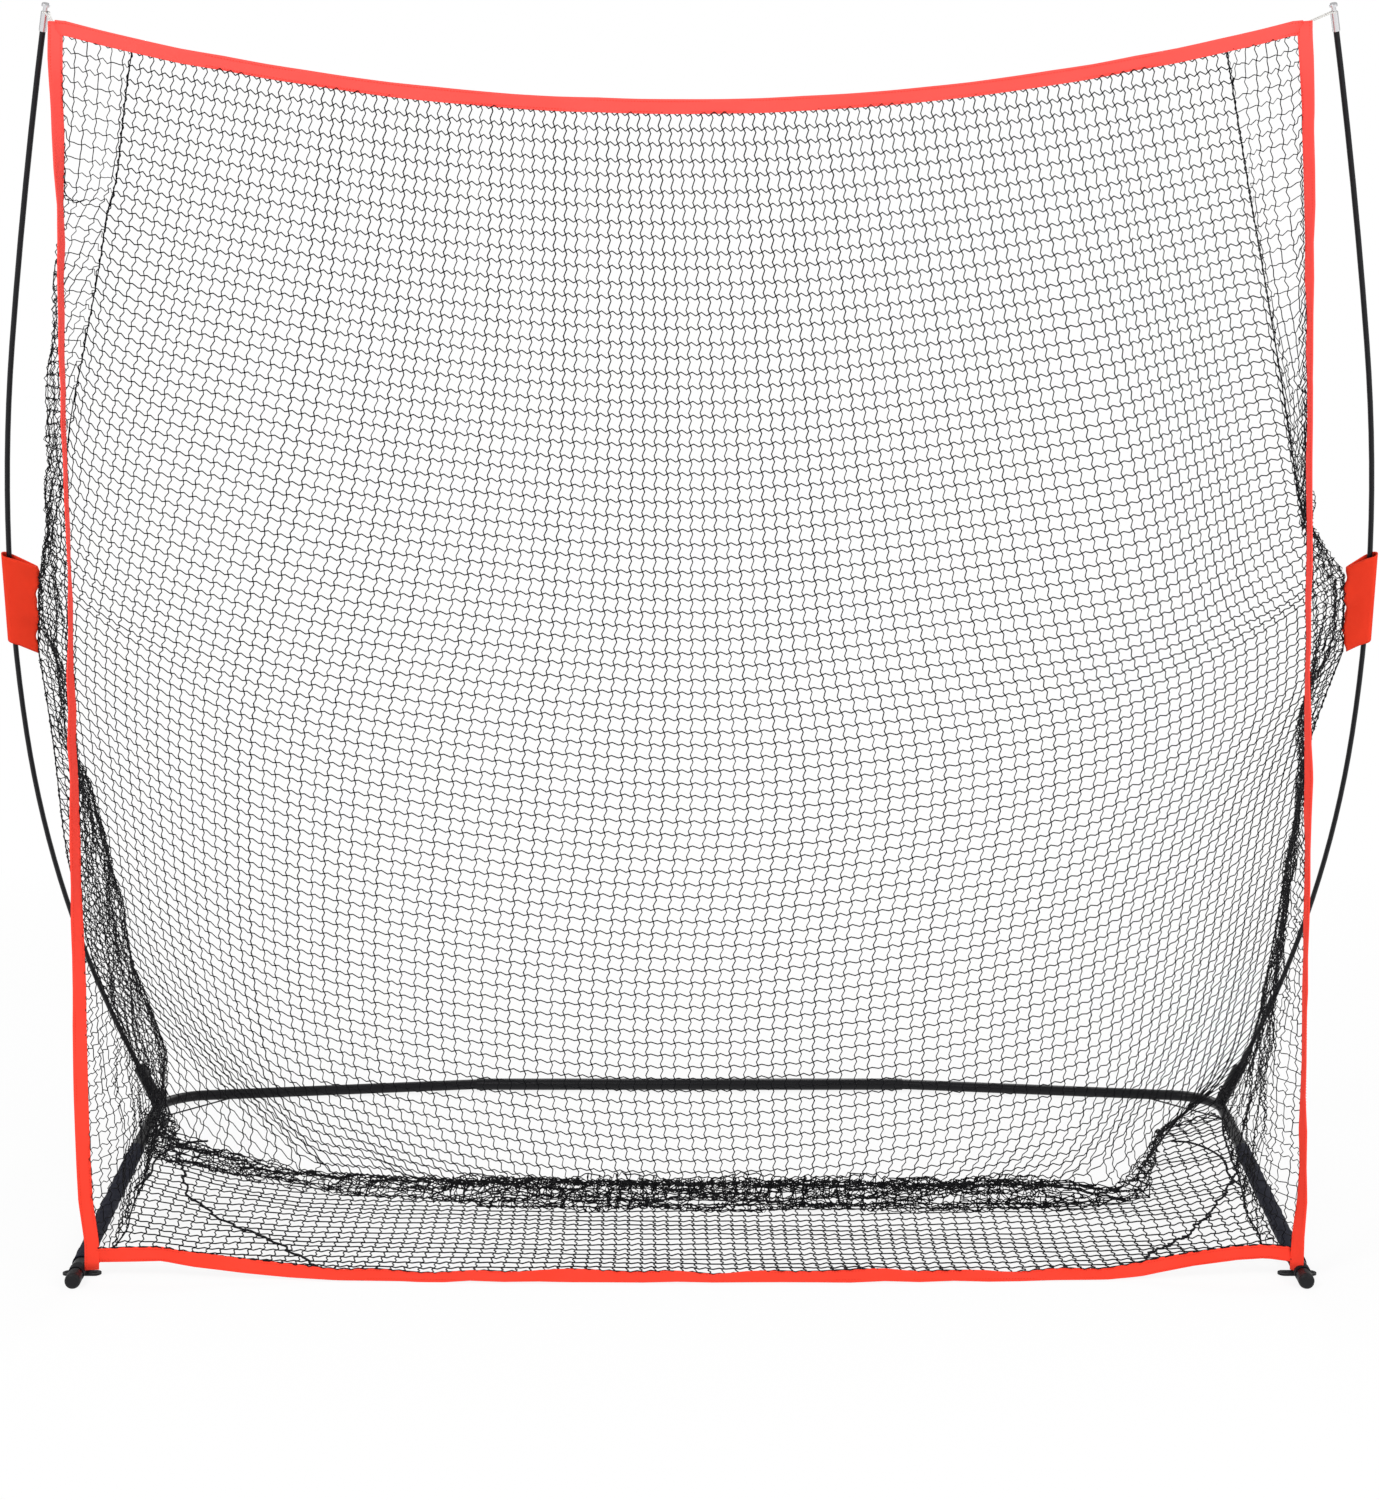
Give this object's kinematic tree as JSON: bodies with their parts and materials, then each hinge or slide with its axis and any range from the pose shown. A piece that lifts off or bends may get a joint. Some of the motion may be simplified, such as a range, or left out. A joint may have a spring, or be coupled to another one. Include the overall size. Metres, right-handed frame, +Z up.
{
  "type": "practice net",
  "caption": "Free-standing ball practice net: a U-shaped tube base, bent poles at the rear corners, and a hemmed mesh that hangs down to the ground and catches balls.",
  "frame": {"origin": "on the ground in the middle of the frame's outline", "axes": "+Z up, +X to the right as seen from the open front, +Y to the back; the net's mouth faces -Y"},
  "size_m": [2.6376, 1.2596, 2.1999],
  "materials": {
    "frame_tube": "black semi-gloss powder coat",
    "cap_plastic": "moulded black plastic",
    "pole_rod": "black glass-fibre rod",
    "ferrule_metal": "pale turned metal",
    "button_steel": "zinc-plated spring steel",
    "hem_tape": "red-orange woven polyester tape",
    "sleeve_fabric": "red-orange coated fabric",
    "dark_fabric": "dark navy woven fabric",
    "loop_elastic": "pale braided elastic",
    "net_cord": "black braided cord",
    "netting": "black knotless square mesh"
  },
  "bodies": {
    "frame_and_net": {"back_net": "netting", "bottom_hem": "hem_tape", "centre_cross_tube": "frame_tube", "floor_net": "netting", "left_border_cord": "net_cord", "left_bow_sleeve": "sleeve_fabric", "left_corner_brace": "frame_tube", "left_corner_loop": "loop_elastic", "left_corner_net": "netting", "left_corner_tube": "frame_tube", "left_foot_cap": "cap_plastic", "left_foot_strap": "dark_fabric", "left_hem": "hem_tape", "left_joint_ferrule": "ferrule_metal", "left_lower_pole": "pole_rod", "left_pole_socket": "frame_tube", "left_rear_button_spring": "button_steel", "left_rear_tie": "net_cord", "left_side_button_spring": "button_steel", "left_side_net": "netting", "left_side_tube": "frame_tube", "left_socket_bush": "cap_plastic", "left_stake_tabs": "frame_tube", "left_tip_cap": "ferrule_metal", "left_tip_ferrule": "ferrule_metal", "left_tube_sleeve": "dark_fabric", "left_upper_pole": "pole_rod", "pooled_net": "netting", "right_border_cord": "net_cord", "right_bow_sleeve": "sleeve_fabric", "right_corner_brace": "frame_tube", "right_corner_loop": "loop_elastic", "right_corner_net": "netting", "right_corner_tube": "frame_tube", "right_foot_cap": "cap_plastic", "right_foot_strap": "dark_fabric", "right_hem": "hem_tape", "right_joint_ferrule": "ferrule_metal", "right_lower_pole": "pole_rod", "right_pole_socket": "frame_tube", "right_rear_button_spring": "button_steel", "right_rear_tie": "net_cord", "right_side_button_spring": "button_steel", "right_side_net": "netting", "right_side_tube": "frame_tube", "right_socket_bush": "cap_plastic", "right_stake_tabs": "frame_tube", "right_tip_cap": "ferrule_metal", "right_tip_ferrule": "ferrule_metal", "right_tube_sleeve": "dark_fabric", "right_upper_pole": "pole_rod", "top_hem": "hem_tape"},
    "left_rear_button": {"left_rear_snap_button": "button_steel"},
    "left_side_button": {"left_side_snap_button": "button_steel"},
    "right_rear_button": {"right_rear_snap_button": "button_steel"},
    "right_side_button": {"right_side_snap_button": "button_steel"}
  },
  "joints": [
    {"name": "left_rear_button_press", "type": "slide", "parent": "frame_and_net", "child": "left_rear_button", "axis": [0, -1, 0], "range_m": [0, 0.0042], "stiffness_N_per_m": 2000, "springref_m": -0.001, "deforming": ["left_rear_button_spring"]},
    {"name": "left_side_button_press", "type": "slide", "parent": "frame_and_net", "child": "left_side_button", "axis": [0.9963, 0.0854, 0], "range_m": [0, 0.0042], "stiffness_N_per_m": 2000, "springref_m": -0.001, "deforming": ["left_side_button_spring"]},
    {"name": "right_rear_button_press", "type": "slide", "parent": "frame_and_net", "child": "right_rear_button", "axis": [0, -1, 0], "range_m": [0, 0.0042], "stiffness_N_per_m": 2000, "springref_m": -0.001, "deforming": ["right_rear_button_spring"]},
    {"name": "right_side_button_press", "type": "slide", "parent": "frame_and_net", "child": "right_side_button", "axis": [-0.9963, 0.0854, 0], "range_m": [0, 0.0042], "stiffness_N_per_m": 2000, "springref_m": -0.001, "deforming": ["right_side_button_spring"]}
  ]
}
